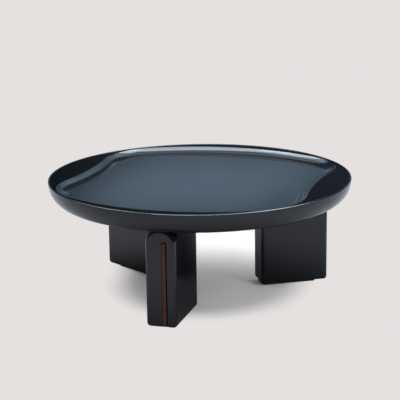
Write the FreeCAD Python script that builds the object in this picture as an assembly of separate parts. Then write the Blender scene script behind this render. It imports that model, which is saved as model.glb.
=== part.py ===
import FreeCAD, Part
import math
import os

# Round cocktail table: a shallow lacquered dish on three radial slab legs.
# Millimetres, +Z up, origin on the floor under the middle of the dish.
# The front leg points along -Y, and the flat basin runs front to back, turned slightly clockwise.

# Dish
DISH_RADIUS = 533.0
TABLE_HEIGHT = 415.0
DISH_THICKNESS = 74.0
EDGE_RUN = 59.0
LIP_WIDTH = 5.0
LIP_HEIGHT = 5.0
LIP_ROUND = 2.2
COVE_RUN = 2.5
SHELF_DROP = 2.0

# Basin sunk into the dish
BASIN_DEPTH = 22.0
BASIN_END_MARGIN = 67.0
BASIN_END_RADIUS = 650.0
BASIN_SIDE_MARGIN = 134.0
BASIN_SIDE_RADIUS = 1140.0
BASIN_CORNER_LAND = 1.5
BASIN_WALL_SLOPE = 45.0
BASIN_FLOOR_ROUND = 52.0
BASIN_TOP_ROUND = 4.0
BASIN_TURN = -1.7

# Hollow under the basin, and the panel that closes it
BASIN_FLOOR_THICKNESS = 14.0
HOLLOW_MARGIN = 44.0
PANEL_LEDGE = 16.0
PANEL_THICKNESS = 12.0
PANEL_CLEARANCE = 0.4
SPOKE_WIDTH = 96.0
RIB_WIDTH = 32.0
HUB_MARGIN = 16.0
FRAME_CLEARANCE = 0.3
PANEL_SCREW_COUNT = 12

# Legs
LEG_END_INSET = 73.0
LEG_LENGTH = 247.0
LEG_WIDTH = 104.0
LEG_EDGE_ROUND = 12.0
LEG_FOOT_EASE = 1.0
LEG_JOINT_ROUND = 0.5
POST_DEPTH = 32.0
POST_TOP_FLAT = 4.0

# Red inlay let into the outer end of each leg
GROOVE_WIDTH = 18.0
GROOVE_DEPTH = 12.0
GROOVE_DROP = 41.0
GROOVE_OFFSET = 13.0
GROOVE_LIP_ROUND = 1.5
INLAY_SET_BACK = 3.0
INLAY_SHADOW_GAP = 5.0
INLAY_CLEARANCE = 0.2
INLAY_FOOT_GAP = 3.0

# Dowels between post and slab
DOWEL_RADIUS = 6.0
DOWEL_IN_SLAB = 26.0
DOWEL_COVER = 6.0
DOWEL_COUNT = 3
DOWEL_MARGIN = 68.0

# Tie rods that pull each leg up against the dish
ROD_RADIUS = 5.0
ROD_SPACING = 100.0
ROD_HOLE_CLEARANCE = 0.5
NUT_POCKET_CLEARANCE = 2.0
NUT_POCKET_DEPTH = 36.0
NUT_ACROSS_FLATS = 17.0
NUT_HEIGHT = 8.0
WASHER_RADIUS = 14.0
WASHER_THICKNESS = 3.0
ROD_PROUD_OF_NUT = 4.0
INSERT_WALL = 3.0
INSERT_COVER = 4.0

# Foot pads
PAD_THICKNESS = 7.0
PAD_SIDE_INSET = 19.0
PAD_END_INSET = 7.5
PAD_END_ROUND = 12.0
PAD_SCREW_INSET = 20.0

# Countersunk wood screws
SCREW_RADIUS = 2.0
SCREW_LENGTH = 24.0
SCREW_HEAD_RADIUS = 4.0
SCREW_HEAD_HEIGHT = 2.5
SCREW_HEAD_SINK = 1.0

# Running fit of pins, rods and screws in their holes
PIN_CLEARANCE = 0.1

# Distance under which two places count as one
TOUCH = 0.01

# Levels and places worked out from the sizes above
UNDERSIDE = TABLE_HEIGHT - DISH_THICKNESS
BASIN_FLOOR = TABLE_HEIGHT - BASIN_DEPTH
HOLLOW_TOP = BASIN_FLOOR - BASIN_FLOOR_THICKNESS
PANEL_TOP = UNDERSIDE + PANEL_THICKNESS
FLAT_RADIUS = DISH_RADIUS - EDGE_RUN
LIP_INNER_RADIUS = DISH_RADIUS - LIP_WIDTH
SHELF_RADIUS = LIP_INNER_RADIUS - COVE_RUN
SHELF_LEVEL = TABLE_HEIGHT - SHELF_DROP
BASIN_HALF_LENGTH = DISH_RADIUS - BASIN_END_MARGIN
BASIN_HALF_WIDTH = DISH_RADIUS - BASIN_SIDE_MARGIN
WALL_ANGLE = math.radians(BASIN_WALL_SLOPE)
WALL_RUN = (BASIN_DEPTH - SHELF_DROP) / math.tan(WALL_ANGLE)
CREST_RUN = WALL_RUN + BASIN_TOP_ROUND * math.tan(WALL_ANGLE / 2)
CORNER_REACH = SHELF_RADIUS - BASIN_CORNER_LAND - CREST_RUN
HOLLOW_RADIUS = FLAT_RADIUS - HOLLOW_MARGIN
PANEL_RADIUS = HOLLOW_RADIUS + PANEL_LEDGE
HUB_RADIUS = (SPOKE_WIDTH + RIB_WIDTH) / 2 + HUB_MARGIN
LEG_BOTTOM = PAD_THICKNESS
LEG_END_RADIUS = DISH_RADIUS - LEG_END_INSET
LEG_INNER_RADIUS = LEG_END_RADIUS - LEG_LENGTH
SLAB_OUTER_RADIUS = LEG_END_RADIUS - POST_DEPTH
SLAB_LENGTH = SLAB_OUTER_RADIUS - LEG_INNER_RADIUS
SLAB_CENTRE_RADIUS = (SLAB_OUTER_RADIUS + LEG_INNER_RADIUS) / 2
FOOT_ROUND = LEG_EDGE_ROUND + LEG_FOOT_EASE
POST_SHOULDER_RADIUS = (LEG_WIDTH - POST_TOP_FLAT) / 2
GROOVE_TOP = UNDERSIDE - GROOVE_DROP
GROOVE_LEFT = GROOVE_OFFSET - GROOVE_WIDTH / 2
GROOVE_RIGHT = GROOVE_OFFSET + GROOVE_WIDTH / 2
GROOVE_FLOOR_RADIUS = LEG_END_RADIUS - GROOVE_DEPTH
DOWEL_IN_POST = POST_DEPTH - GROOVE_DEPTH - DOWEL_COVER
NUT_POCKET_RADIUS = WASHER_RADIUS + NUT_POCKET_CLEARANCE
INSERT_RADIUS = ROD_RADIUS + INSERT_WALL
INSERT_LENGTH = HOLLOW_TOP - PANEL_TOP - INSERT_COVER
PAD_WIDTH = LEG_WIDTH - 2 * PAD_SIDE_INSET
PAD_LENGTH = SLAB_LENGTH - 2 * PAD_END_INSET
LEG_ANGLES = {"front": 0.0, "right": 120.0, "left": 240.0}
UP = FreeCAD.Vector(0, 0, 1)
ORIGIN = FreeCAD.Vector(0, 0, 0)


def point(x, y, z=0.0):
    return FreeCAD.Vector(x, y, z)


def cylinder(radius, height, base, direction=UP):
    return Part.makeCylinder(radius, height, base, direction)


def block(x_low, x_high, y_low, y_high, z_low, z_high):
    return Part.makeBox(x_high - x_low, y_high - y_low, z_high - z_low, point(x_low, y_low, z_low))


def turned(shape, degrees):
    copy = shape.copy()
    copy.rotate(ORIGIN, UP, degrees)
    return copy


def prism(wire, direction):
    return Part.Face(wire).extrude(direction)


def clean(shape):
    """The one solid left by a boolean, or a group of solids."""
    solids = shape.removeSplitter().Solids
    return solids[0] if len(solids) == 1 else Part.makeCompound(solids)


def write(name, shape):
    shape.exportStep("parts/" + name + ".step")


def outline(points_and_middles):
    """Closed wire of arcs, each given by its start and a point on it."""
    edges = []
    count = len(points_and_middles)
    for i, (start, middle) in enumerate(points_and_middles):
        end = points_and_middles[(i + 1) % count][0]
        edges.append(Part.Arc(start, middle, end).toShape())
    return Part.Wire(edges)


def corner_centre(corner_radius):
    """Centre of a basin corner that runs smoothly into the end arc and the side arc."""
    end_centre = point(0, BASIN_HALF_LENGTH - BASIN_END_RADIUS)
    side_centre = point(BASIN_HALF_WIDTH + BASIN_SIDE_RADIUS, 0)
    to_corner = BASIN_END_RADIUS - corner_radius
    from_side = BASIN_SIDE_RADIUS + corner_radius
    between = side_centre - end_centre
    along = (to_corner ** 2 - from_side ** 2 + between.Length ** 2) / (2 * between.Length)
    beside = math.sqrt(to_corner ** 2 - along ** 2)
    ahead = between / between.Length
    return end_centre + ahead * along + point(-ahead.y, ahead.x) * beside


def basin_corner_radius():
    """Radius at which the corners end at their reach, or the round at their foot where that is larger."""
    small = TOUCH
    large = BASIN_HALF_WIDTH
    while large - small > TOUCH:
        middle = (small + large) / 2
        if corner_centre(middle).Length + middle > CORNER_REACH:
            small = middle
        else:
            large = middle
    return max(large, BASIN_FLOOR_ROUND)


def basin_outline(outward, level):
    """Basin edge grown outward: two end arcs, two sides bowed in, four round corners."""
    corner = corner_centre(basin_corner_radius())
    corner_radius = basin_corner_radius() + outward
    from_end = corner - point(0, BASIN_HALF_LENGTH - BASIN_END_RADIUS)
    from_side = point(BASIN_HALF_WIDTH + BASIN_SIDE_RADIUS, 0) - corner
    to_end = from_end / from_end.Length
    to_side = from_side / from_side.Length
    halfway = to_end + to_side
    lift = UP * level
    on_end = corner + to_end * corner_radius + lift
    on_side = corner + to_side * corner_radius + lift
    on_corner = corner + halfway / halfway.Length * corner_radius + lift

    def mirrored(p, x_sign, y_sign):
        return point(p.x * x_sign, p.y * y_sign, level)

    side = BASIN_HALF_WIDTH + outward
    end = BASIN_HALF_LENGTH + outward
    return outline([
        (on_end, point(0, end, level)),
        (mirrored(on_end, -1, 1), mirrored(on_corner, -1, 1)),
        (mirrored(on_side, -1, 1), point(-side, 0, level)),
        (mirrored(on_side, -1, -1), mirrored(on_corner, -1, -1)),
        (mirrored(on_end, -1, -1), point(0, -end, level)),
        (mirrored(on_end, 1, -1), mirrored(on_corner, 1, -1)),
        (mirrored(on_side, 1, -1), point(side, 0, level)),
        (mirrored(on_side, 1, 1), on_corner),
    ])


def basin_space():
    """Space of the basin, wider towards the top, with its floor edge rounded, turned a little."""
    grow = BASIN_DEPTH / math.tan(WALL_ANGLE)
    wires = [basin_outline(0, BASIN_FLOOR), basin_outline(grow, TABLE_HEIGHT)]
    space = Part.makeLoft(wires, True, True)
    floor_edges = [e for e in space.Edges if e.BoundBox.ZMax < BASIN_FLOOR + TOUCH]
    return turned(space.makeFillet(BASIN_FLOOR_ROUND, floor_edges), BASIN_TURN)


def dish_body():
    """Turned dish: flat underside, quarter-round edge, thin lip, flat top a little below it."""
    edge_top = TABLE_HEIGHT - LIP_HEIGHT
    edge = Part.BezierCurve()
    edge.setPoles([point(FLAT_RADIUS, 0, UNDERSIDE), point(DISH_RADIUS, 0, UNDERSIDE),
                   point(DISH_RADIUS, 0, edge_top)])
    edge.setWeight(2, math.sqrt(0.5))
    corners = [
        point(DISH_RADIUS, 0, edge_top), point(DISH_RADIUS, 0, TABLE_HEIGHT),
        point(LIP_INNER_RADIUS, 0, TABLE_HEIGHT), point(SHELF_RADIUS, 0, SHELF_LEVEL),
        point(0, 0, SHELF_LEVEL), point(0, 0, UNDERSIDE), point(FLAT_RADIUS, 0, UNDERSIDE),
    ]
    sides = [Part.LineSegment(a, b).toShape() for a, b in zip(corners, corners[1:])]
    profile = Part.Face(Part.Wire([edge.toShape()] + sides))
    body = profile.revolve(ORIGIN, UP, 360)
    lip_edges = [e for e in body.Edges if e.BoundBox.ZMin > TABLE_HEIGHT - TOUCH]
    return body.makeFillet(LIP_ROUND, lip_edges)


def panel_screw_places():
    """Bases of the panel screws, on the ledge and clear of the legs."""
    radius = (HOLLOW_RADIUS + PANEL_RADIUS) / 2
    step = 360.0 / PANEL_SCREW_COUNT
    places = []
    for i in range(PANEL_SCREW_COUNT):
        angle = math.radians(step * (i + 0.5))
        places.append(point(radius * math.cos(angle), radius * math.sin(angle), UNDERSIDE))
    return places


def screw(place, extra=0.0):
    """Countersunk screw pointing up, its head sunk above the place; extra widens it to a hole."""
    head_base = place + UP * (SCREW_HEAD_SINK - extra)
    head = Part.makeCone(SCREW_HEAD_RADIUS + extra, SCREW_RADIUS + extra,
                         SCREW_HEAD_HEIGHT + extra, head_base)
    shank_length = SCREW_LENGTH - SCREW_HEAD_SINK
    shank = cylinder(SCREW_RADIUS + extra, shank_length + extra, place + UP * SCREW_HEAD_SINK)
    return clean(head.fuse(shank))


def screw_hole(place):
    """Room for a screw and, below its head, for the driver."""
    hole = screw(place, PIN_CLEARANCE)
    return hole.fuse(cylinder(SCREW_HEAD_RADIUS + PIN_CLEARANCE, SCREW_HEAD_SINK, place))


def dish_shell():
    """The dish with its basin, hollowed from below and rebated for the panel."""
    shell = dish_body().cut(basin_space())
    step_edges = [e for e in shell.Edges if on_basin_rim(e)]
    shell = shell.makeFillet(BASIN_TOP_ROUND, step_edges)
    hollow = cylinder(HOLLOW_RADIUS, HOLLOW_TOP - UNDERSIDE, point(0, 0, UNDERSIDE))
    rebate = cylinder(PANEL_RADIUS, PANEL_THICKNESS, point(0, 0, UNDERSIDE))
    shell = shell.cut(hollow).cut(rebate)
    for place in panel_screw_places():
        shell = shell.cut(screw_hole(place))
    return clean(shell)


def on_basin_rim(edge):
    """True for the upper edge of the basin, where its wall meets the shelf."""
    box = edge.BoundBox
    off_shelf = max(abs(box.ZMin - SHELF_LEVEL), abs(box.ZMax - SHELF_LEVEL))
    middle = edge.valueAt((edge.FirstParameter + edge.LastParameter) / 2)
    return off_shelf < TOUCH and math.hypot(middle.x, middle.y) < SHELF_RADIUS - TOUCH


def rod_places():
    """Axis points of one leg's two tie rods."""
    half = ROD_SPACING / 2
    return [point(0, -SLAB_CENTRE_RADIUS - half), point(0, -SLAB_CENTRE_RADIUS + half)]


def underside_panel():
    """Round panel that closes the hollow, drilled for the tie rods and its screws."""
    panel = cylinder(PANEL_RADIUS - PANEL_CLEARANCE, PANEL_THICKNESS, point(0, 0, UNDERSIDE))
    for angle in LEG_ANGLES.values():
        for place in rod_places():
            hole = cylinder(ROD_RADIUS + ROD_HOLE_CLEARANCE, PANEL_THICKNESS, place + UP * UNDERSIDE)
            panel = panel.cut(turned(hole, angle))
    for place in panel_screw_places():
        panel = panel.cut(screw_hole(place))
    return clean(panel)


def panel_screws():
    return Part.makeCompound([screw(place) for place in panel_screw_places()])


def hub_block():
    return cylinder(HUB_RADIUS, HOLLOW_TOP - PANEL_TOP, point(0, 0, PANEL_TOP))


def radial_bar(width):
    """Bar along -Y inside the hollow, from the hub to the wall."""
    bar = block(-width / 2, width / 2, -HOLLOW_RADIUS, 0, PANEL_TOP, HOLLOW_TOP)
    height = HOLLOW_TOP - PANEL_TOP
    reach = cylinder(HOLLOW_RADIUS - FRAME_CLEARANCE, height, point(0, 0, PANEL_TOP))
    hub = cylinder(HUB_RADIUS + FRAME_CLEARANCE, height, point(0, 0, PANEL_TOP))
    return bar.common(reach).cut(hub)


def spoke():
    """Beam above a leg, bored for the two threaded inserts."""
    beam = radial_bar(SPOKE_WIDTH)
    for place in rod_places():
        bore = cylinder(INSERT_RADIUS + PIN_CLEARANCE, INSERT_LENGTH, place + UP * PANEL_TOP)
        beam = beam.cut(bore)
    return clean(beam)


def rod_inserts():
    """Threaded sleeves in the spoke, open at the lower end and closed by the spoke above."""
    sleeves = []
    for place in rod_places():
        base = place + UP * PANEL_TOP
        sleeve = cylinder(INSERT_RADIUS, INSERT_LENGTH, base)
        sleeves.append(sleeve.cut(cylinder(ROD_RADIUS + PIN_CLEARANCE, INSERT_LENGTH, base)))
    return Part.makeCompound(sleeves)


def leg_profile(radius, shoulder):
    """Upright outline of a leg seen from its outer end, at a radius from the middle."""
    half = LEG_WIDTH / 2
    low = LEG_BOTTOM
    foot = FOOT_ROUND
    diagonal = 1 - math.sqrt(0.5)
    ease = foot * diagonal
    y = -radius

    def at(x, z):
        return point(x, y, z)

    def line(a, b):
        return Part.LineSegment(a, b).toShape()

    def corner(a, middle, b):
        return Part.Arc(a, middle, b).toShape()

    edges = [
        line(at(-half + foot, low), at(half - foot, low)),
        corner(at(half - foot, low), at(half - ease, low + ease), at(half, low + foot)),
    ]
    if shoulder > 0:
        top = UNDERSIDE - shoulder
        bend = shoulder * diagonal
        edges += [
            line(at(half, low + foot), at(half, top)),
            corner(at(half, top), at(half - bend, UNDERSIDE - bend), at(half - shoulder, UNDERSIDE)),
            line(at(half - shoulder, UNDERSIDE), at(-half + shoulder, UNDERSIDE)),
            corner(at(-half + shoulder, UNDERSIDE), at(-half + bend, UNDERSIDE - bend), at(-half, top)),
            line(at(-half, top), at(-half, low + foot)),
        ]
    else:
        edges += [
            line(at(half, low + foot), at(half, UNDERSIDE)),
            line(at(half, UNDERSIDE), at(-half, UNDERSIDE)),
            line(at(-half, UNDERSIDE), at(-half, low + foot)),
        ]
    edges.append(corner(at(-half, low + foot), at(-half + ease, low + ease), at(-half + foot, low)))
    return Part.Wire(edges)


def edges_at(shape, radius):
    """Edges lying in the upright plane at this radius along the leg."""
    boxes = [(e, e.BoundBox) for e in shape.Edges]
    return [e for e, box in boxes if abs(box.YMin + radius) < TOUCH and abs(box.YMax + radius) < TOUCH]


def upright(edge):
    box = edge.BoundBox
    return max(box.XLength, box.YLength) < TOUCH


def dowel_places():
    """Heights of the dowels, spread evenly between the two margins."""
    low = LEG_BOTTOM + DOWEL_MARGIN
    high = UNDERSIDE - DOWEL_MARGIN
    step = (high - low) / (DOWEL_COUNT - 1)
    start = SLAB_OUTER_RADIUS + DOWEL_IN_POST
    return [point(0, -start, low + step * i) for i in range(DOWEL_COUNT)]


def dowel(place, clearance=0.0):
    return cylinder(DOWEL_RADIUS + clearance, DOWEL_IN_POST + DOWEL_IN_SLAB, place, point(0, 1, 0))


def pad_screw_places():
    reach = PAD_LENGTH / 2 - PAD_SCREW_INSET
    return [point(0, -SLAB_CENTRE_RADIUS - reach), point(0, -SLAB_CENTRE_RADIUS + reach)]


def leg_slab():
    """Full-height slab of a leg, bored for rods, nuts, dowels and pad screws."""
    wire = leg_profile(SLAB_OUTER_RADIUS, 0)
    slab = prism(wire, point(0, SLAB_LENGTH, 0))
    inner = [e for e in edges_at(slab, LEG_INNER_RADIUS) if e.BoundBox.ZMin < UNDERSIDE - TOUCH]
    slab = slab.makeFillet(LEG_EDGE_ROUND, inner)
    joint = [e for e in edges_at(slab, SLAB_OUTER_RADIUS) if upright(e)]
    slab = slab.makeFillet(LEG_JOINT_ROUND, joint)
    for place in rod_places():
        base = place + UP * LEG_BOTTOM
        slab = slab.cut(cylinder(ROD_RADIUS + ROD_HOLE_CLEARANCE, UNDERSIDE - LEG_BOTTOM, base))
        slab = slab.cut(cylinder(NUT_POCKET_RADIUS, NUT_POCKET_DEPTH, base))
    for place in dowel_places():
        slab = slab.cut(dowel(place, PIN_CLEARANCE))
    for place in pad_screw_places():
        slab = slab.cut(screw_hole(place))
    return clean(slab)


def strip_shape(left, right, low, top, radius):
    """Upright bar with a round top, from a radius along the leg in to the floor of the groove."""
    y = -radius
    middle = (left + right) / 2
    spring = top - (right - left) / 2
    wire = Part.Wire([
        Part.LineSegment(point(left, y, low), point(right, y, low)).toShape(),
        Part.LineSegment(point(right, y, low), point(right, y, spring)).toShape(),
        Part.Arc(point(right, y, spring), point(middle, y, top), point(left, y, spring)).toShape(),
        Part.LineSegment(point(left, y, spring), point(left, y, low)).toShape(),
    ])
    return prism(wire, point(0, radius - GROOVE_FLOOR_RADIUS, 0))


def end_post():
    """Arched post on the outer end of a leg, soft-edged, grooved for the inlay."""
    post = prism(leg_profile(LEG_END_RADIUS, POST_SHOULDER_RADIUS), point(0, POST_DEPTH, 0))
    post = post.makeFillet(LEG_EDGE_ROUND, edges_at(post, LEG_END_RADIUS))
    post = post.cut(strip_shape(GROOVE_LEFT, GROOVE_RIGHT, LEG_BOTTOM, GROOVE_TOP, LEG_END_RADIUS))
    post = post.makeFillet(GROOVE_LIP_ROUND, groove_lip(post))
    for place in dowel_places():
        post = post.cut(dowel(place, PIN_CLEARANCE))
    return clean(post)


def groove_lip(post):
    """Edges where the groove opens through the outer face of the post."""
    boxes = [(e, e.BoundBox) for e in edges_at(post, LEG_END_RADIUS)]
    return [e for e, box in boxes if box.XMin > GROOVE_LEFT - TOUCH and box.XMax < GROOVE_RIGHT + TOUCH
            and box.ZLength > TOUCH]


def inlay_strip():
    """Red strip along the left side of the groove, with a shadow gap at its right and above it."""
    left = GROOVE_LEFT + INLAY_CLEARANCE
    right = GROOVE_RIGHT - INLAY_SHADOW_GAP
    low = LEG_BOTTOM + INLAY_FOOT_GAP
    return strip_shape(left, right, low, GROOVE_TOP - INLAY_SHADOW_GAP, LEG_END_RADIUS - INLAY_SET_BACK)


def post_dowels():
    return Part.makeCompound([dowel(place) for place in dowel_places()])


def nut_level():
    """Height of the face inside the nut pocket that the washer bears on."""
    return LEG_BOTTOM + NUT_POCKET_DEPTH


def tie_rods():
    low = nut_level() - WASHER_THICKNESS - NUT_HEIGHT - ROD_PROUD_OF_NUT
    high = PANEL_TOP + INSERT_LENGTH
    return Part.makeCompound([cylinder(ROD_RADIUS, high - low, p + UP * low) for p in rod_places()])


def rod_washers():
    rings = []
    for place in rod_places():
        base = place + UP * (nut_level() - WASHER_THICKNESS)
        ring = cylinder(WASHER_RADIUS, WASHER_THICKNESS, base)
        rings.append(ring.cut(cylinder(ROD_RADIUS + PIN_CLEARANCE, WASHER_THICKNESS, base)))
    return rings


def rod_nuts():
    nuts = []
    corner = NUT_ACROSS_FLATS / math.sqrt(3)
    for place in rod_places():
        base = place + UP * (nut_level() - WASHER_THICKNESS - NUT_HEIGHT)
        turns = [math.radians(60 * i) for i in range(7)]
        ring = [base + point(corner * math.cos(t), corner * math.sin(t)) for t in turns]
        nut = prism(Part.makePolygon(ring), UP * NUT_HEIGHT)
        nuts.append(nut.cut(cylinder(ROD_RADIUS + PIN_CLEARANCE, NUT_HEIGHT, base)))
    return nuts


def foot_pad():
    """Recessed strip that the leg stands on, covering the nut pockets."""
    half_width = PAD_WIDTH / 2
    half_length = PAD_LENGTH / 2
    outer = -SLAB_CENTRE_RADIUS - half_length
    inner = -SLAB_CENTRE_RADIUS + half_length
    pad = block(-half_width, half_width, outer, inner, 0, PAD_THICKNESS)
    pad = pad.makeFillet(PAD_END_ROUND, [e for e in pad.Edges if upright(e)])
    for place in pad_screw_places():
        pad = pad.cut(screw_hole(place))
    return clean(pad)


def pad_screws():
    return Part.makeCompound([screw(place) for place in pad_screw_places()])


def write_dish():
    write("dish_shell", dish_shell())
    write("underside_panel", underside_panel())
    write("underside_panel_screws", panel_screws())
    write("dish_hub_block", hub_block())


def write_legs():
    """One set of leg pieces, and the dish pieces above it, turned to each leg's place."""
    pieces = {
        "leg_slab": leg_slab(),
        "leg_end_post": end_post(),
        "leg_inlay_strip": inlay_strip(),
        "leg_post_dowels": post_dowels(),
        "leg_tie_rods": tie_rods(),
        "leg_rod_inserts": rod_inserts(),
        "leg_foot_pad": foot_pad(),
        "leg_foot_pad_screws": pad_screws(),
        "dish_spoke": spoke(),
    }
    rib = clean(radial_bar(RIB_WIDTH))
    for side, angle in LEG_ANGLES.items():
        for name, shape in pieces.items():
            write(side + "_" + name, turned(shape, angle))
        write(side + "_dish_rib", turned(rib, angle + 180.0))


def write_rod_fasteners():
    """Washers and nuts of all the tie rods, each kind one group."""
    for name, shapes in (("tie_rod_washers", rod_washers()), ("tie_rod_nuts", rod_nuts())):
        group = [turned(shape, angle) for angle in LEG_ANGLES.values() for shape in shapes]
        write(name, Part.makeCompound(group))


os.makedirs("parts", exist_ok=True)
write_dish()
write_legs()
write_rod_fasteners()
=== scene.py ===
import math
from typing import NamedTuple

import bpy
from bpy.props import FloatProperty, FloatVectorProperty, PointerProperty
from mathutils import Matrix, Vector


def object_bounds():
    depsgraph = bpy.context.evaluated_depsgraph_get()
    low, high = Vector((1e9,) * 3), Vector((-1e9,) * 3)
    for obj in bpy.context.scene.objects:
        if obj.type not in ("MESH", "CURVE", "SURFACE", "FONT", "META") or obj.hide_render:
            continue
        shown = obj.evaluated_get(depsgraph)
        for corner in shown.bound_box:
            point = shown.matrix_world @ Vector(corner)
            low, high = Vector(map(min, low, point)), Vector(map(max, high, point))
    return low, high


bl_info = {
    "name": "Round cocktail table",
    "version": (1, 0, 0),
    "blender": (4, 5, 0),
    "location": "View3D > Sidebar > Table",
    "description": "Finishes and studio stage for a lacquered dish table on three radial legs",
    "category": "Object",
}

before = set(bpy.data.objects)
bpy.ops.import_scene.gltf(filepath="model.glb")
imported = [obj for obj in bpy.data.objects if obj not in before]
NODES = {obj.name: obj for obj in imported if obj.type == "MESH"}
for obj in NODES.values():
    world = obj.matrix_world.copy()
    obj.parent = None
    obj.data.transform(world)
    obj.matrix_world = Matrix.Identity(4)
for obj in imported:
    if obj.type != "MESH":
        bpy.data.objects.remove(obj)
CAD_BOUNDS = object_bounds()
SIDES = ("front", "right", "left")
DISH_RADIUS = CAD_BOUNDS[1][0]
TABLE_TOP = CAD_BOUNDS[1][2]
BLACK = (0.0, 0.0, 0.0)

# Soft edges between the zones of gloss on the dish, in metres
LIP_EDGE = 0.0025
CREST_EDGE = 0.004
FLOOR_EDGE = 0.003
SHELF_EDGE = 0.0003

# Stage, in metres, and the camera's sensor in millimetres
FLOOR_HALF = 30.0
CARD_REACH = 6.0
BASIN_MIDDLE = Vector((0.0, 0.0, 0.4))
SENSOR_WIDTH = 36.0

# Colour sockets of a Mix node
MIX_SHARE = 0
MIX_FIRST = 6
MIX_SECOND = 7
MIX_RESULT = 2


class Wire:
    """A socket that takes part in arithmetic: each operation adds a Math node to its finish."""

    def __init__(self, finish, socket):
        self.finish = finish
        self.socket = socket

    def math(self, operation, *others):
        return self.finish.maths(operation, self, *others)

    def __add__(self, other):
        return self.math("ADD", other)

    __radd__ = __add__

    def __sub__(self, other):
        return self.math("SUBTRACT", other)

    def __rsub__(self, other):
        return self.finish.maths("SUBTRACT", other, self)

    def __mul__(self, other):
        return self.math("MULTIPLY", other)

    __rmul__ = __mul__

    def __truediv__(self, other):
        return self.math("DIVIDE", other)

    def __rtruediv__(self, other):
        return self.finish.maths("DIVIDE", other, self)

    def root(self):
        return self.math("SQRT")

    def clamped(self):
        return self.math("MINIMUM", 1.0).math("MAXIMUM", 0.0)

    def ramp(self, low, high):
        """0 below low, 1 above high, eased in between; low may lie above high."""
        share = ((self - low) / (high - low)).clamped()
        return share * share * (3.0 - 2.0 * share)


def opaque(colour):
    """The colour with full alpha; a wire already carries its own."""
    return colour if isinstance(colour, Wire) else (*colour, 1.0)


class Finish:
    """Node tree of one finish. Nodes take their settings first and then their sockets."""

    def __init__(self, tree):
        self.tree = tree
        tree.nodes.clear()

    def add(self, kind, settings, sockets):
        node = self.tree.nodes.new(kind)
        for name, value in settings.items():
            setattr(node, name, value)
        for key, value in sockets.items():
            if isinstance(value, Wire):
                self.tree.links.new(value.socket, node.inputs[key])
            else:
                node.inputs[key].default_value = value
        return node

    def wire(self, kind, settings, sockets, output=0):
        return Wire(self, self.add(kind, settings, sockets).outputs[output])

    def maths(self, operation, *values):
        return self.wire("ShaderNodeMath", {"operation": operation}, dict(enumerate(values)))

    def place(self):
        """Position on the piece in metres; the table's pieces all share its frame."""
        return self.wire("ShaderNodeTexCoord", {}, {}, "Object")

    def axes(self, place):
        node = self.add("ShaderNodeSeparateXYZ", {}, {0: place})
        return [Wire(self, socket) for socket in node.outputs]

    def ray(self, kind):
        """1 for rays of that kind and 0 for all others."""
        return self.wire("ShaderNodeLightPath", {}, {}, kind)

    def stretched(self, place, scale):
        return self.wire("ShaderNodeVectorMath", {"operation": "MULTIPLY"}, {0: place, 1: scale})

    def noise(self, place, scale=1.0, detail=2.0, roughness=0.5):
        sockets = {"Vector": place, "Scale": scale, "Detail": detail, "Roughness": roughness}
        return self.wire("ShaderNodeTexNoise", {}, sockets)

    def blend(self, share, first, second):
        """Colour that goes from first to second."""
        sockets = {MIX_SHARE: share, MIX_FIRST: opaque(first), MIX_SECOND: opaque(second)}
        return self.wire("ShaderNodeMix", {"data_type": "RGBA"}, sockets, MIX_RESULT)

    def bump(self, height, strength, depth):
        return self.wire("ShaderNodeBump", {}, {"Height": height, "Strength": strength, "Distance": depth})

    def principled(self, sockets):
        return self.wire("ShaderNodeBsdfPrincipled", {}, sockets)

    def emission(self, colour, strength):
        return self.wire("ShaderNodeEmission", {}, {"Color": opaque(colour), "Strength": strength})

    def mixed(self, share, first, second):
        """Shader that goes from first to second."""
        return self.wire("ShaderNodeMixShader", {}, {0: share, 1: first, 2: second})

    def surface(self, shader, output="ShaderNodeOutputMaterial"):
        self.add(output, {}, {"Surface": shader})


def finish_named(name):
    """The material of that name, emptied, and the finish that fills it."""
    material = bpy.data.materials.get(name) or bpy.data.materials.new(name)
    material.use_nodes = True
    return material, Finish(material.node_tree)


def dress(names, material):
    for name in names:
        mesh = NODES[name].data
        mesh.materials.clear()
        mesh.materials.append(material)


def on_each_leg(piece):
    return [side + "_" + piece for side in SIDES]


def lacquer_finish(look):
    """Near-black lacquer: glossy, a little bluer inside the basin, and duller on the shelf around it."""
    material, f = finish_named("black_lacquer")
    place = f.place()
    x, y, z = f.axes(place)
    lip_foot = DISH_RADIUS - look.lip_width
    inside_lip = (x * x + y * y).root().ramp(lip_foot, lip_foot - LIP_EDGE)
    under_crest = z.ramp(look.crest_level, look.crest_level - CREST_EDGE)
    basin = under_crest * z.ramp(look.basin_level - FLOOR_EDGE, look.basin_level) * inside_lip
    shelf = z.ramp(look.shelf_level - SHELF_EDGE, look.shelf_level) * inside_lip
    clouds = f.noise(place, scale=5.0, detail=3.0)
    haze = f.noise(place, scale=60.0)
    uneven = 0.03 * (haze - 0.5) + 0.03 * (clouds - 0.5)
    peel = f.bump(f.noise(place, scale=900.0), strength=0.03, depth=0.0003)
    body = f.blend(clouds, look.lacquer_dark, look.lacquer_colour)
    inside = f.blend(clouds, look.basin_dark, look.basin_colour)
    smoother = look.lacquer_roughness - look.basin_roughness
    gloss = f.principled({
        "Base Color": f.blend(basin, body, inside),
        "Roughness": look.lacquer_roughness - smoother * basin + uneven,
        "IOR": 1.5,
        "Normal": peel,
    })
    satin = f.principled({
        "Base Color": body,
        "Roughness": look.shelf_roughness + uneven,
        "Specular IOR Level": look.shelf_shine,
        "Normal": peel,
    })
    f.surface(f.mixed(shelf, gloss, satin))
    return material


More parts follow.
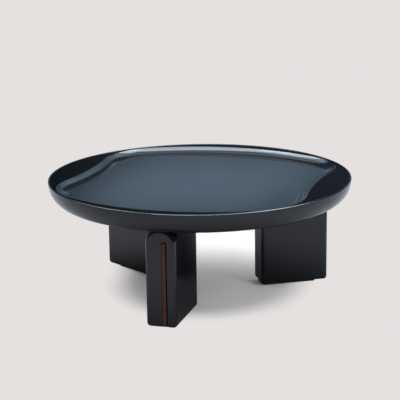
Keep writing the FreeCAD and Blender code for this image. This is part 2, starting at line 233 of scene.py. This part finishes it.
def inlay_finish(look):
    """Dark red lacquered wood, with a fine upright grain under the lacquer."""
    material, f = finish_named("red_inlay")
    place = f.place()
    grain = f.noise(f.stretched(place, (220.0, 220.0, 9.0)), detail=4.0, roughness=0.6)
    clouds = f.noise(place, scale=14.0)
    f.surface(f.principled({
        "Base Color": f.blend(grain, look.inlay_dark, look.inlay_colour),
        "Roughness": 0.3 + 0.12 * grain + 0.05 * (clouds - 0.5),
        "Specular IOR Level": look.inlay_shine,
        "Normal": f.bump(grain, strength=0.08, depth=0.0003),
    }))
    return material


def paint_finish(look):
    """Matt black paint on the plywood panel, with roller stipple and dusty patches."""
    material, f = finish_named("panel_black_paint")
    place = f.place()
    stipple = f.noise(place, scale=420.0, detail=3.0)
    dust = f.noise(place, scale=7.0, detail=4.0, roughness=0.6)
    f.surface(f.principled({
        "Base Color": f.blend(dust, look.paint_colour, look.paint_dust),
        "Roughness": 0.62 + 0.2 * dust,
        "Normal": f.bump(stipple, strength=0.2, depth=0.0006),
    }))
    return material


def timber_finish(look):
    """Planed softwood with growth rings and pores, for the frame inside the dish."""
    material, f = finish_named("frame_timber")
    place = f.place()
    x, y, z = f.axes(place)
    sway = f.noise(place, scale=6.0)
    rings = ((x + 0.6 * y + 1.4 * z) * 190.0 + 9.0 * sway).math("SINE") * 0.5 + 0.5
    pores = f.noise(f.stretched(place, (60.0, 60.0, 420.0)), detail=4.0, roughness=0.65)
    f.surface(f.principled({
        "Base Color": f.blend(rings * 0.7 + pores * 0.3, look.timber_colour, look.timber_dark),
        "Roughness": 0.55 + 0.2 * pores,
        "Normal": f.bump(pores, strength=0.15, depth=0.0005),
    }))
    return material


def beech_finish(look):
    """Bare beech of the dowels, with short dark flecks."""
    material, f = finish_named("beech_dowel")
    place = f.place()
    flecks = f.noise(f.stretched(place, (500.0, 60.0, 500.0)), detail=3.0, roughness=0.6).ramp(0.5, 0.72)
    clouds = f.noise(place, scale=30.0)
    f.surface(f.principled({
        "Base Color": f.blend(flecks * 0.6 + clouds * 0.3, look.beech_colour, look.beech_dark),
        "Roughness": 0.5 + 0.15 * clouds,
        "Normal": f.bump(flecks, strength=0.1, depth=0.0003),
    }))
    return material


def metal_finish(name, colour, roughness):
    """Plated or bare metal with fine turning marks and a cloudy bloom."""
    material, f = finish_named(name)
    place = f.place()
    marks = f.noise(f.stretched(place, (300.0, 300.0, 2400.0)))
    bloom = f.noise(place, scale=90.0, detail=3.0, roughness=0.6)
    darker = [0.7 * channel for channel in colour]
    f.surface(f.principled({
        "Base Color": f.blend(bloom, colour, darker),
        "Metallic": 1.0,
        "Roughness": roughness + 0.15 * bloom + 0.06 * marks,
        "Normal": f.bump(marks, strength=0.1, depth=0.0001),
    }))
    return material


def rubber_finish(look):
    """Black rubber of the foot pads, scuffed grey towards the floor."""
    material, f = finish_named("pad_rubber")
    place = f.place()
    height = f.axes(place)[2]
    grit = f.noise(place, scale=700.0, detail=3.0, roughness=0.6)
    patches = f.noise(place, scale=45.0, detail=4.0, roughness=0.6).ramp(0.45, 0.7)
    scuffs = patches * height.ramp(look.scuff_height, 0.0)
    f.surface(f.principled({
        "Base Color": f.blend(scuffs, look.rubber_colour, look.rubber_scuff),
        "Roughness": 0.7 + 0.2 * grit,
        "Normal": f.bump(grit, strength=0.25, depth=0.0004),
    }))
    return material


def colour_property(name, description, default):
    return FloatVectorProperty(name=name, description=description, default=default, subtype="COLOR", size=3,
                               min=0.0, max=1.0)


def share_property(name, description, default):
    return FloatProperty(name=name, description=description, default=default, min=0.0, max=1.0,
                         subtype="FACTOR")


def length_property(name, description, default):
    return FloatProperty(name=name, description=description, default=default, unit="LENGTH")


def level_property(name, description, default):
    return FloatProperty(name=name, description=description, default=default, min=0.0, max=20.0)


def power_property(name, description, default):
    return FloatProperty(name=name, description=description, default=default, min=0.0, unit="POWER")


def angle_property(name, description, degrees):
    return FloatProperty(name=name, description=description, default=math.radians(degrees), subtype="ANGLE")


class TableFinishes(bpy.types.PropertyGroup):
    """Colours and gloss of the table's finishes."""

    lacquer_colour: colour_property("Lacquer", "Near-black lacquer of dish and legs", (0.0045, 0.0055,
                                    0.0075))
    lacquer_dark: colour_property("Lacquer, darker", "Darker clouds in the lacquer", (0.003, 0.0037, 0.005))
    lacquer_roughness: share_property("Lacquer roughness", "Gloss of the lacquer outside the basin", 0.16)
    basin_colour: colour_property("Basin lacquer", "Lacquer inside the basin", (0.011, 0.016, 0.021))
    basin_dark: colour_property("Basin lacquer, darker", "Darker clouds in the basin", (0.009, 0.0135,
                                0.018))
    basin_roughness: share_property("Basin roughness", "Gloss of the lacquer inside the basin", 0.12)
    shelf_roughness: share_property("Shelf roughness", "Gloss of the shelf around the basin", 0.3)
    shelf_shine: share_property("Shelf shine", "Share of mirrored light on the shelf", 0.01)
    lip_width: length_property("Lip width", "Width of the thin lip around the dish", 0.005)
    shelf_level: length_property("Shelf level", "Height of the flat shelf around the basin",
                                 TABLE_TOP - 0.002)
    crest_level: length_property("Crest level", "Height under which the basin's gloss begins",
                                 TABLE_TOP - 0.0025)
    basin_level: length_property("Basin level", "Height under which the basin's gloss ends",
                                 TABLE_TOP - 0.024)
    inlay_colour: colour_property("Inlay", "Dark red strip in the leg ends", (0.075, 0.020, 0.022))
    inlay_dark: colour_property("Inlay, darker", "Dark grain of the strip", (0.040, 0.012, 0.014))
    inlay_shine: share_property("Inlay shine", "Share of mirrored light on the strip", 0.2)
    paint_colour: colour_property("Panel paint", "Matt black paint under the dish", (0.016, 0.016, 0.018))
    paint_dust: colour_property("Panel dust", "Dusty patches on the paint", (0.028, 0.027, 0.026))
    timber_colour: colour_property("Timber", "Planed softwood of the frame", (0.55, 0.4, 0.25))
    timber_dark: colour_property("Timber rings", "Dark growth rings", (0.38, 0.24, 0.12))
    beech_colour: colour_property("Beech", "Bare beech of the dowels", (0.66, 0.48, 0.3))
    beech_dark: colour_property("Beech flecks", "Dark flecks in the beech", (0.42, 0.26, 0.13))
    zinc_colour: colour_property("Zinc", "Zinc plate of rods, nuts and washers", (0.6, 0.61, 0.63))
    zinc_roughness: share_property("Zinc roughness", "Gloss of rods, nuts and washers", 0.25)
    screw_colour: colour_property("Screws", "Dull zinc plate of the wood screws", (0.5, 0.5, 0.52))
    screw_roughness: share_property("Screw roughness", "Gloss of the wood screws", 0.35)
    brass_colour: colour_property("Brass", "Bare brass of the threaded inserts", (0.7, 0.52, 0.22))
    brass_roughness: share_property("Brass roughness", "Gloss of the threaded inserts", 0.3)
    rubber_colour: colour_property("Rubber", "Black rubber of the foot pads", (0.015, 0.015, 0.015))
    rubber_scuff: colour_property("Rubber scuffs", "Grey scuffs low on the pads", (0.05, 0.05, 0.048))
    scuff_height: length_property("Scuff height", "Height up to which the pads are scuffed", 0.004)


class TableStage(bpy.types.PropertyGroup):
    """Floor, studio light and camera around the table."""

    background: colour_property("Background", "Pale ground that the table stands on", (0.783, 0.753, 0.745))
    floor_colour: colour_property("Floor", "White floor near the table", (0.86, 0.86, 0.865))
    white_right: length_property("White floor, right", "Middle of the white floor, to the right", 0.03)
    white_ahead: length_property("White floor, ahead", "Middle of the white floor, towards the back", 0.05)
    white_half_width: length_property("White floor, half width", "Reach of the white floor sideways", 0.40)
    white_front: length_property("White floor, front", "Reach of the white floor to the front", 0.44)
    white_behind: length_property("White floor, behind", "Reach of the white floor to the back", 0.95)
    # Painted shade and painted reflection: the lacquer's glossy rays see the floor in these colours instead
    # of the floor as lit, darker near the table and darker and bluer further out.
    painted_shade_reach_behind: length_property("Mirrored shade, behind", "Reach of the mirrored shade to the back", 1.2)
    painted_near_shade: colour_property("Near floor in reflections", "Shaded floor as the lacquer mirrors it",
                                     (0.15, 0.155, 0.165))
    painted_far_reflection: colour_property("Far floor in reflections", "Open floor as the lacquer mirrors it",
                                    (0.54, 0.57, 0.63))
    ambient: level_property("Ambient light", "Level of the even light all round", 0.95)
    room: level_property("Room in reflections", "Level of the dim room that the lacquer mirrors", 0.02)
    key_power: power_property("Key softbox", "Power of the softbox at the front right", 25.0)
    back_power: power_property("Back softbox", "Power of the softbox behind and above", 36.0)
    back_colour: colour_property("Back card colour", "Colour of the cards behind the table", (0.50, 0.75,
                                 1.0))
    back_strength: level_property("Back cards", "Level of the pale blue cards behind the table", 0.665)
    side_colour: colour_property("Side card colour", "Colour of the cards beside the table", (0.53, 0.77,
                                 1.0))
    side_strength: level_property("Side cards", "Level of the cards at the back right and the left", 1.96)
    overhead_colour: colour_property("Overhead card colour", "Colour of the cards above the table",
                                     (0.76, 0.88, 1.0))
    overhead_strength: level_property("Overhead cards", "Level of the cards above the table", 10.0)
    azimuth: angle_property("Camera azimuth", "Turn of the camera from the front leg", 16.8)
    camera_reach: length_property("Camera reach", "Level distance from the table's axis to the camera",
                                  4.649)
    camera_height: length_property("Camera height", "Height of the camera above the floor", 1.525)
    camera_pitch: angle_property("Camera pitch", "Downward tilt of the camera", 14.466)
    camera_roll: angle_property("Camera roll", "Turn of the camera about its own axis", -0.792)
    camera_lens: FloatProperty(name="Lens", description="Focal length of the camera", default=121.86,
                               min=10.0, max=400.0, unit="CAMERA")


class TABLE_OT_dish(bpy.types.Operator):
    """Finish the lacquered dish"""

    bl_idname = "table.dish"
    bl_label = "Dish"

    def execute(self, context):
        dress(["dish_shell"], lacquer_finish(context.scene.table_finishes))
        return {"FINISHED"}


class TABLE_OT_panel(bpy.types.Operator):
    """Finish the panel under the dish"""

    bl_idname = "table.panel"
    bl_label = "Underside panel"

    def execute(self, context):
        dress(["underside_panel"], paint_finish(context.scene.table_finishes))
        return {"FINISHED"}


class TABLE_OT_frame(bpy.types.Operator):
    """Finish the timber frame inside the dish"""

    bl_idname = "table.frame"
    bl_label = "Timber frame"

    def execute(self, context):
        timber = timber_finish(context.scene.table_finishes)
        dress(["dish_hub_block"] + on_each_leg("dish_spoke") + on_each_leg("dish_rib"), timber)
        return {"FINISHED"}


class TABLE_OT_legs(bpy.types.Operator):
    """Finish the leg slabs and their arched end posts"""

    bl_idname = "table.legs"
    bl_label = "Legs"

    def execute(self, context):
        lacquer = lacquer_finish(context.scene.table_finishes)
        dress(on_each_leg("leg_slab") + on_each_leg("leg_end_post"), lacquer)
        return {"FINISHED"}


class TABLE_OT_inlays(bpy.types.Operator):
    """Finish the red strips in the leg ends"""

    bl_idname = "table.inlays"
    bl_label = "Inlay strips"

    def execute(self, context):
        dress(on_each_leg("leg_inlay_strip"), inlay_finish(context.scene.table_finishes))
        return {"FINISHED"}


class TABLE_OT_dowels(bpy.types.Operator):
    """Finish the dowels between leg slabs and end posts"""

    bl_idname = "table.dowels"
    bl_label = "Dowels"

    def execute(self, context):
        dress(on_each_leg("leg_post_dowels"), beech_finish(context.scene.table_finishes))
        return {"FINISHED"}


class TABLE_OT_pads(bpy.types.Operator):
    """Finish the foot pads"""

    bl_idname = "table.pads"
    bl_label = "Foot pads"

    def execute(self, context):
        dress(on_each_leg("leg_foot_pad"), rubber_finish(context.scene.table_finishes))
        return {"FINISHED"}


class TABLE_OT_screws(bpy.types.Operator):
    """Finish the wood screws of the panel and the foot pads"""

    bl_idname = "table.screws"
    bl_label = "Wood screws"

    def execute(self, context):
        look = context.scene.table_finishes
        dull_zinc = metal_finish("zinc_screw", look.screw_colour, look.screw_roughness)
        dress(["underside_panel_screws"] + on_each_leg("leg_foot_pad_screws"), dull_zinc)
        return {"FINISHED"}


class TABLE_OT_rods(bpy.types.Operator):
    """Finish the tie rods with their washers, nuts and threaded inserts"""

    bl_idname = "table.rods"
    bl_label = "Tie rods and nuts"

    def execute(self, context):
        look = context.scene.table_finishes
        zinc = metal_finish("zinc_steel", look.zinc_colour, look.zinc_roughness)
        brass = metal_finish("brass_insert", look.brass_colour, look.brass_roughness)
        dress(["tie_rod_washers", "tie_rod_nuts"] + on_each_leg("leg_tie_rods"), zinc)
        dress(on_each_leg("leg_rod_inserts"), brass)
        return {"FINISHED"}


class Card(NamedTuple):
    """A glowing card as the basin sees it, in degrees, with azimuth to the right from straight behind.

    Share is its part of its group's light. Roll lifts its right end, lean sets its upper edge to the left
    and fade dims its left end. The soft parts are shares of its half size over which the glow ends.
    """

    name: str
    azimuth: float
    elevation: float
    width: float
    height: float
    share: float = 1.0
    roll: float = 0.0
    lean: float = 0.0
    fade: float = 0.0
    soft_sides: float = 0.3
    soft_foot: float = 0.7
    soft_top: float = 0.7


BACK_CARDS = (
    Card("back_card", azimuth=1.7, elevation=12.8, width=23.0, height=7.6, lean=1.45,
         soft_sides=0.65, soft_foot=1.47, soft_top=0.25),
    Card("low_card", azimuth=4.0, elevation=4.0, width=34.0, height=12.0, share=0.42,
         soft_sides=0.5, soft_foot=0.5, soft_top=0.5),
)
SIDE_CARDS = (
    Card("right_card", azimuth=21.7, elevation=25.5, width=50.0, height=18.0, roll=58.0, fade=1.4,
         soft_foot=0.2, soft_top=0.3),
    Card("left_card", azimuth=-42.0, elevation=42.0, width=36.0, height=20.0, roll=-30.0),
)
OVERHEAD_CARDS = (
    Card("upper_card", azimuth=0.0, elevation=64.0, width=110.0, height=56.0, share=0.12,
         soft_foot=0.4, soft_top=0.4),
    Card("overhead_card", azimuth=180.0, elevation=82.0, width=105.0, height=52.0,
         soft_foot=0.25, soft_top=0.25),
    Card("left_wing_card", azimuth=-80.0, elevation=50.0, width=50.0, height=44.0),
    Card("right_wing_card", azimuth=80.0, elevation=50.0, width=50.0, height=44.0),
)


def across(stage, right, ahead, height):
    """World place of a point given to the right of and beyond the table's axis, as the camera sees it."""
    c = math.cos(stage.azimuth)
    s = math.sin(stage.azimuth)
    return Vector((right * c - ahead * s, right * s + ahead * c, height))


def add_sheet(name, half_width, half_height, material):
    """Flat rectangle of the stage, about its own middle."""
    corners = [(-half_width, -half_height, 0.0), (half_width, -half_height, 0.0),
               (half_width, half_height, 0.0), (-half_width, half_height, 0.0)]
    mesh = bpy.data.meshes.new(name)
    mesh.from_pydata(corners, [], [(0, 1, 2, 3)])
    mesh.materials.append(material)
    sheet = bpy.data.objects.new(name, mesh)
    bpy.context.scene.collection.objects.link(sheet)
    return sheet


def floor_finish(stage):
    """White and shaded under and behind the table, even and pale further out. Glossy rays see painted shade
    near the table and a painted darker, bluer floor further out.
    """
    material, f = finish_named("studio_floor")
    x, y = f.axes(f.place())[:2]
    c = math.cos(stage.azimuth)
    s = math.sin(stage.azimuth)
    right = x * c + y * s - stage.white_right
    ahead = y * c - x * s - stage.white_ahead

    def from_middle(reach_behind):
        """Distance from the middle of the white floor: 1 at its reach on each side."""
        beside = right / stage.white_half_width
        in_front = ahead.math("MINIMUM", 0.0) / stage.white_front
        behind = ahead.math("MAXIMUM", 0.0) / reach_behind
        return (beside * beside + in_front * in_front + behind * behind).root()

    far = from_middle(stage.white_behind).ramp(0.6, 1.0)
    # Painted shade in reflections: 0 near the table, where glossy rays see the dark painted near shade, and
    # 1 further out, where they see the painted far reflection colour.
    clear_of_painted_shade = from_middle(stage.painted_shade_reach_behind).ramp(0.5, 2.0)
    mirrored = f.blend(clear_of_painted_shade, stage.painted_near_shade, stage.painted_far_reflection)
    # Glossy rays get the painted reflection colours; camera and diffuse rays get the floor's own white.
    colour = f.blend(f.ray("Is Glossy Ray"), stage.floor_colour, mirrored)
    white = f.principled({"Base Color": colour, "Roughness": 1.0, "Specular IOR Level": 0.0})
    even = f.emission(stage.background, 1.0)
    f.surface(f.mixed(far * f.ray("Is Camera Ray"), white, even))
    return material


def card_finish(card, half_width, half_height, colour, strength):
    """Glow with soft edges, clear so that the cards shine through one another."""
    material, f = finish_named(card.name)
    x, y = f.axes(f.place())[:2]
    across_card = (x + card.lean * y) / half_width
    up_card = y / half_height
    sides = across_card.math("ABSOLUTE").ramp(1.0, 1.0 - card.soft_sides)
    foot = up_card.ramp(-1.0, card.soft_foot - 1.0)
    top = up_card.ramp(1.0, 1.0 - card.soft_top)
    slope = (1.0 + card.fade * across_card) / (1.0 + card.fade)
    glow = f.emission(f.blend(sides * foot * top * slope, BLACK, colour), card.share * strength)
    clear = f.wire("ShaderNodeBsdfTransparent", {}, {})
    f.surface(f.wire("ShaderNodeAddShader", {}, {0: glow, 1: clear}))
    return material


def add_card(stage, card, colour, strength):
    """Glowing card far off from the basin that shows only in reflections."""
    azimuth = math.radians(card.azimuth)
    elevation = math.radians(card.elevation)
    level = CARD_REACH * math.cos(elevation)
    rise = CARD_REACH * math.sin(elevation)
    away = across(stage, level * math.sin(azimuth), level * math.cos(azimuth), rise)
    half_width = CARD_REACH * math.tan(math.radians(card.width / 2))
    half_height = CARD_REACH * math.tan(math.radians(card.height / 2))
    glow = card_finish(card, half_width, half_height, colour, strength)
    sheet = add_sheet(card.name, half_width + card.lean * half_height, half_height, glow)
    sheet.location = BASIN_MIDDLE + away
    facing = away.to_track_quat("-Z", "Y").to_matrix()
    sheet.rotation_euler = (facing @ Matrix.Rotation(math.radians(card.roll), 3, "Z")).to_euler()
    sheet.visible_camera = False
    sheet.visible_diffuse = False
    sheet.visible_shadow = False


def add_cards(stage):
    """All the cards, in groups of one colour and level."""
    groups = (
        (BACK_CARDS, stage.back_colour, stage.back_strength),
        (SIDE_CARDS, stage.side_colour, stage.side_strength),
        (OVERHEAD_CARDS, stage.overhead_colour, stage.overhead_strength),
    )
    for cards, colour, strength in groups:
        for card in cards:
            add_card(stage, card, colour, strength)


def add_softbox(name, place, target, width, depth, power, mirrored):
    """Soft area lamp; one that is not mirrored lights the scene without showing in the lacquer."""
    lamp = bpy.data.lights.new(name, "AREA")
    lamp.shape = "RECTANGLE"
    lamp.size = width
    lamp.size_y = depth
    lamp.energy = power
    box = bpy.data.objects.new(name, lamp)
    box.location = place
    box.rotation_euler = (target - place).to_track_quat("-Z", "Y").to_euler()
    box.visible_glossy = mirrored
    bpy.context.scene.collection.objects.link(box)


def add_softboxes(stage):
    """Key softbox at the front right, aimed at the dish, and a wide one that whitens the floor behind."""
    add_softbox("key_softbox", across(stage, right=2.2, ahead=-1.9, height=2.0), Vector((0.0, 0.0, 0.39)),
                width=0.8, depth=0.8, power=stage.key_power, mirrored=True)
    add_softbox("back_softbox", across(stage, right=0.0, ahead=1.5, height=2.0),
                across(stage, right=0.0, ahead=0.5, height=0.0),
                width=2.4, depth=2.0, power=stage.back_power, mirrored=False)


def add_world(stage):
    """Even light all round, a dim room in reflections, and a pale background for the camera."""
    world = bpy.data.worlds.new("studio")
    world.use_nodes = True
    f = Finish(world.node_tree)
    light = f.blend(f.ray("Is Glossy Ray"), [stage.ambient] * 3, [stage.room] * 3)
    colour = f.blend(f.ray("Is Camera Ray"), light, stage.background)
    f.surface(f.wire("ShaderNodeBackground", {}, {"Color": colour}), "ShaderNodeOutputWorld")
    bpy.context.scene.world = world


def add_camera(stage):
    """Camera aimed across the table's axis, tilted down and rolled a little."""
    camera = bpy.data.objects.new("camera", bpy.data.cameras.new("camera"))
    camera.data.sensor_width = SENSOR_WIDTH
    camera.data.lens = stage.camera_lens
    right = across(stage, right=1.0, ahead=0.0, height=0.0)
    level = across(stage, right=0.0, ahead=1.0, height=0.0)
    up = Vector((0.0, 0.0, 1.0))
    ahead = level * math.cos(stage.camera_pitch) - up * math.sin(stage.camera_pitch)
    top = right.cross(ahead)
    c = math.cos(stage.camera_roll)
    s = math.sin(stage.camera_roll)
    turn = Matrix((right * c + top * s, top * c - right * s, -ahead)).transposed()
    place = across(stage, right=0.0, ahead=-stage.camera_reach, height=stage.camera_height)
    camera.matrix_world = Matrix.Translation(place) @ turn.to_4x4()
    bpy.context.scene.collection.objects.link(camera)
    bpy.context.scene.camera = camera


class TABLE_OT_stage(bpy.types.Operator):
    """Build the floor, the studio light and the camera"""

    bl_idname = "table.stage"
    bl_label = "Stage"

    def execute(self, context):
        stage = context.scene.table_stage
        add_sheet("floor", FLOOR_HALF, FLOOR_HALF, floor_finish(stage))
        add_world(stage)
        add_cards(stage)
        add_softboxes(stage)
        add_camera(stage)
        context.scene.view_settings.view_transform = "Standard"
        return {"FINISHED"}


OPERATORS = (TABLE_OT_dish, TABLE_OT_panel, TABLE_OT_frame, TABLE_OT_legs, TABLE_OT_inlays, TABLE_OT_dowels,
             TABLE_OT_pads, TABLE_OT_screws, TABLE_OT_rods, TABLE_OT_stage)


class TABLE_PT_sidebar(bpy.types.Panel):
    """Finishes and stage of the table"""

    bl_label = "Cocktail table"
    bl_idname = "TABLE_PT_sidebar"
    bl_space_type = "VIEW_3D"
    bl_region_type = "UI"
    bl_category = "Table"

    def draw(self, context):
        for operator in OPERATORS:
            self.layout.operator(operator.bl_idname)
        for group in (context.scene.table_finishes, context.scene.table_stage):
            box = self.layout.box()
            for name in group.__annotations__:
                box.prop(group, name)


CLASSES = (TableFinishes, TableStage) + OPERATORS + (TABLE_PT_sidebar,)


def register():
    for cls in CLASSES:
        bpy.utils.register_class(cls)
    bpy.types.Scene.table_finishes = PointerProperty(type=TableFinishes)
    bpy.types.Scene.table_stage = PointerProperty(type=TableStage)


def unregister():
    del bpy.types.Scene.table_stage
    del bpy.types.Scene.table_finishes
    for cls in reversed(CLASSES):
        bpy.utils.unregister_class(cls)


def main():
    register()
    bpy.ops.table.dish()
    bpy.ops.table.panel()
    bpy.ops.table.frame()
    bpy.ops.table.legs()
    bpy.ops.table.inlays()
    bpy.ops.table.dowels()
    bpy.ops.table.pads()
    bpy.ops.table.screws()
    bpy.ops.table.rods()
    bpy.ops.table.stage()


if __name__ == "__main__":
    main()
